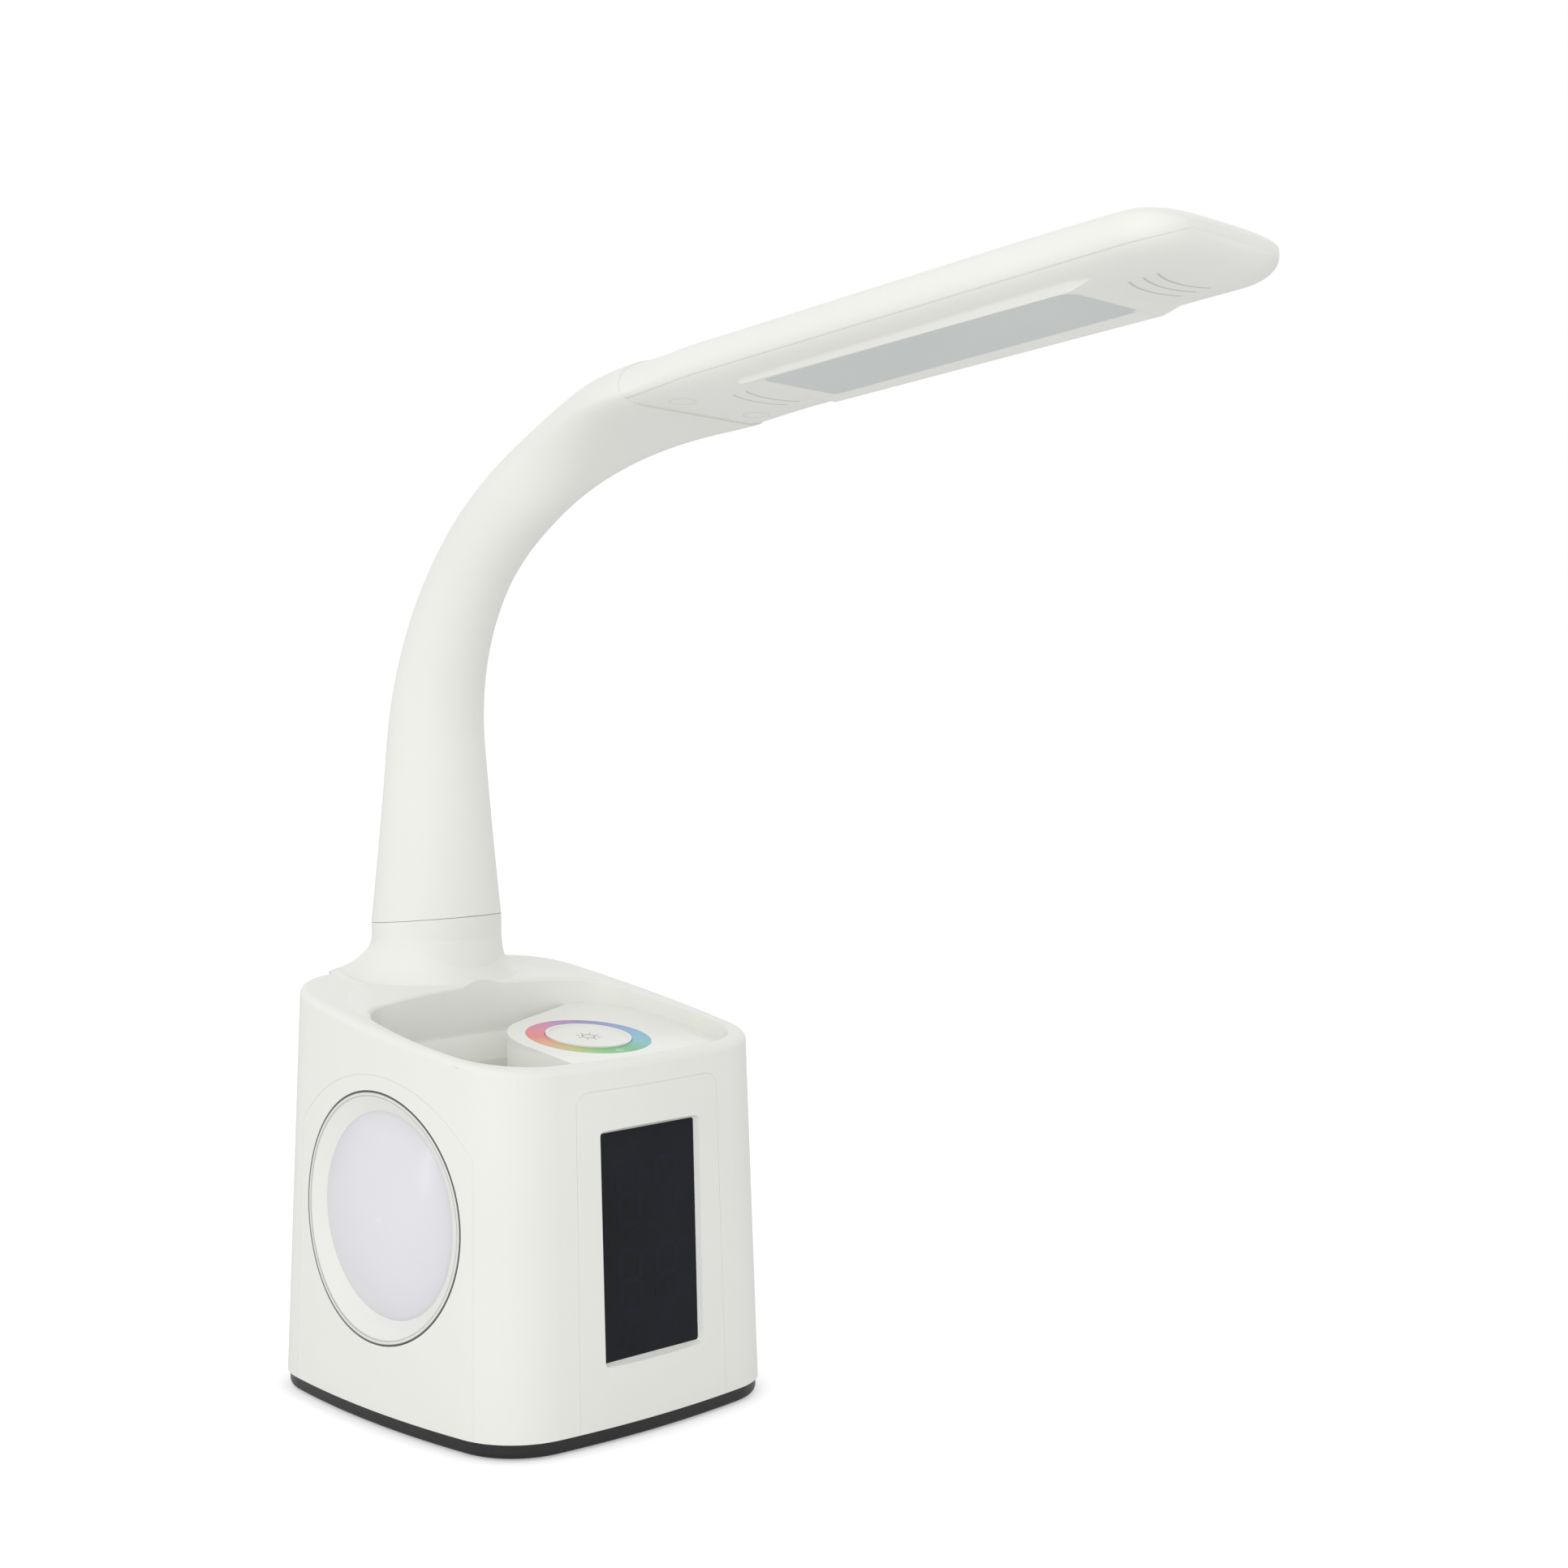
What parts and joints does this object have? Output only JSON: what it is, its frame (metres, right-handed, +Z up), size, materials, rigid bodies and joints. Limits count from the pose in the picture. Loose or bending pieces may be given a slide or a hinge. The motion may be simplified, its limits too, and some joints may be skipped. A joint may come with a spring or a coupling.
{
  "type": "desk lamp with pen holder",
  "caption": "Desk lamp on a rounded box base with a pen pocket, touch control, display and round night light; a bendable neck carries a long flat lamp head.",
  "frame": {"origin": "middle of the base on the table", "axes": "+Z up, -Y to the front with the display and under the lamp head, -X to the side with the night light"},
  "size_m": [0.1244, 0.3497, 0.3607],
  "materials": {
    "white_plastic": "satin",
    "panel_plastic": "satin",
    "black_plastic": "satin",
    "display_glass": "gloss",
    "clear_plastic": "gloss",
    "milky_plastic": "gloss",
    "colour_ring": "gloss",
    "frosted_plastic": "matte",
    "soft_sleeve": "satin",
    "rubber": "matte",
    "steel": "satin",
    "gooseneck_steel": "satin",
    "board": "satin",
    "light_chip": "gloss",
    "module": "satin",
    "button": "satin"
  },
  "bodies": {
    "base": {"base_shell": "white_plastic", "front_panel": "panel_plastic", "side_panel": "panel_plastic", "lcd_window": "display_glass", "lcd_module": "module", "clock_board": "board", "night_light_ring": "clear_plastic", "night_light_dish": "panel_plastic", "night_light_dome": "milky_plastic", "night_light_board": "board", "night_light_chips": "light_chip", "touch_ring": "colour_ring", "touch_disc": "white_plastic", "touch_board": "board", "base_plate": "black_plastic", "rubber_pad": "rubber", "base_screws": "steel", "ballast_plate": "steel", "main_board": "board", "power_inlet": "module", "button_board": "board", "contact_domes": "steel", "neck_nut": "steel", "neck_sleeve_0": "soft_sleeve", "gooseneck_0": "gooseneck_steel"},
    "neck_1": {"neck_sleeve_1": "soft_sleeve", "gooseneck_1": "gooseneck_steel"},
    "neck_2": {"neck_sleeve_2": "soft_sleeve", "gooseneck_2": "gooseneck_steel"},
    "neck_3": {"neck_sleeve_3": "soft_sleeve", "gooseneck_3": "gooseneck_steel"},
    "neck_4": {"neck_sleeve_4": "soft_sleeve", "gooseneck_4": "gooseneck_steel"},
    "neck_5": {"neck_sleeve_5": "soft_sleeve", "gooseneck_5": "gooseneck_steel"},
    "head": {"head_top_cover": "white_plastic", "head_bottom_cover": "white_plastic", "head_diffuser": "frosted_plastic", "light_board": "board", "light_chips": "light_chip", "screw_plugs": "white_plastic", "head_screws": "steel", "neck_clamp": "module", "neck_sleeve_6": "soft_sleeve", "gooseneck_6": "gooseneck_steel"},
    "button_1": {"set_button_1": "button"},
    "button_2": {"set_button_2": "button"},
    "button_3": {"set_button_3": "button"}
  },
  "joints": [
    {"name": "neck_pitch_1", "type": "hinge", "parent": "base", "child": "neck_1", "pos_m": [0, 0.0465, 0.195], "axis": [1, 0, 0], "range_deg": [-25, 15], "deforming": ["neck_sleeve_1", "gooseneck_1", "neck_sleeve_0", "gooseneck_0"]},
    {"name": "neck_sway_1", "type": "hinge", "parent": "neck_1", "child": "neck_2", "pos_m": [0, 0.04548, 0.22495], "axis": [0, 0.9895, 0.1444], "range_deg": [-18, 18], "deforming": ["neck_sleeve_2", "gooseneck_2"]},
    {"name": "neck_pitch_2", "type": "hinge", "parent": "neck_2", "child": "neck_3", "pos_m": [0, 0.03668, 0.25351], "axis": [1, 0, 0], "range_deg": [-25, 15], "deforming": ["neck_sleeve_3", "gooseneck_3"]},
    {"name": "neck_sway_2", "type": "hinge", "parent": "neck_3", "child": "neck_4", "pos_m": [0, 0.01962, 0.27804], "axis": [0, 0.7238, 0.6901], "range_deg": [-18, 18], "deforming": ["neck_sleeve_4", "gooseneck_4"]},
    {"name": "neck_pitch_3", "type": "hinge", "parent": "neck_4", "child": "neck_5", "pos_m": [0, -0.00379, 0.29669], "axis": [1, 0, 0], "range_deg": [-25, 15], "deforming": ["neck_sleeve_5", "gooseneck_5"]},
    {"name": "neck_sway_3", "type": "hinge", "parent": "neck_5", "child": "head", "pos_m": [0, -0.03041, 0.31043], "axis": [0, 0.3762, 0.9265], "range_deg": [-18, 18], "deforming": ["neck_sleeve_6", "gooseneck_6"]},
    {"name": "button_press_1", "type": "slide", "parent": "base", "child": "button_1", "axis": [0, -1, 0], "range_m": [0, 0.0006], "stiffness_N_per_m": 1200, "springref_m": -0.0002},
    {"name": "button_press_2", "type": "slide", "parent": "base", "child": "button_2", "axis": [0, -1, 0], "range_m": [0, 0.0006], "stiffness_N_per_m": 1200, "springref_m": -0.0002},
    {"name": "button_press_3", "type": "slide", "parent": "base", "child": "button_3", "axis": [0, -1, 0], "range_m": [0, 0.0006], "stiffness_N_per_m": 1200, "springref_m": -0.0002}
  ]
}
